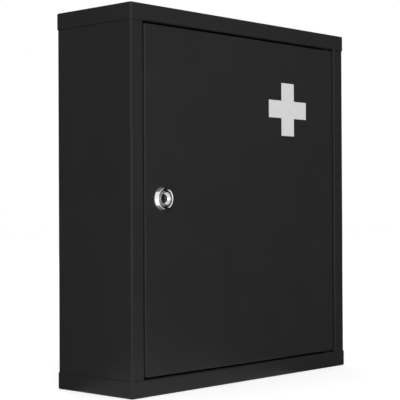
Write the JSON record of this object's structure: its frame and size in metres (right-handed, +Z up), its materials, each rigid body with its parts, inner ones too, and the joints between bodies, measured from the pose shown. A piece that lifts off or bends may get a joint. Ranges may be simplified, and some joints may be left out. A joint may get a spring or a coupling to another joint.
{
  "type": "lockable medicine cabinet",
  "caption": "Lockable wall cabinet for medicines: folded steel box with a flush door on concealed pivots, a cam lock, fixed shelves and a first-aid cross.",
  "frame": {"origin": "centre of the underside of the bottom cap", "axes": "+Z up, the door faces -Y, the lock is on the -X side and the pivots on the +X side"},
  "size_m": [0.323, 0.106, 0.36],
  "materials": {
    "black_steel": "satin black powder coat",
    "door_steel": "satin black powder coat",
    "nylon": "black nylon",
    "bumper_rubber": "matt",
    "cross_vinyl": "pale grey film",
    "zinc": "bright zinc plate",
    "lock_chrome": "polished",
    "wafer_brass": "stamped"
  },
  "bodies": {
    "cabinet": {"body_wrap": "black_steel", "top_cap": "black_steel", "bottom_cap": "black_steel", "shelf_upper": "black_steel", "shelf_lower": "black_steel", "shelf_ledges_left": "black_steel", "shelf_ledges_right": "black_steel", "pivot_bush_upper": "nylon", "pivot_bush_lower": "nylon", "door_bumpers": "bumper_rubber"},
    "door": {"door_panel": "door_steel", "cross_emblem": "cross_vinyl", "pivot_bracket_upper": "zinc", "pivot_bracket_lower": "zinc", "pivot_pin_upper": "zinc", "pivot_pin_lower": "zinc", "lock_housing": "lock_chrome", "lock_washer": "zinc", "lock_nut": "zinc"},
    "lock_plug": {"lock_plug": "lock_chrome", "lock_wafers": "wafer_brass", "stop_washer": "zinc", "lock_cam": "zinc", "cam_washer": "zinc", "cam_screw": "zinc"}
  },
  "joints": [
    {"name": "door_hinge", "type": "hinge", "parent": "cabinet", "child": "door", "pos_m": [0.13445, -0.04465, 0.18], "axis": [0, 0, 1], "range_deg": [0, 120]},
    {"name": "lock_turn", "type": "hinge", "parent": "door", "child": "lock_plug", "pos_m": [-0.12005, -0.05065, 0.1815], "axis": [0, 1, 0], "range_deg": [0, 90]}
  ]
}
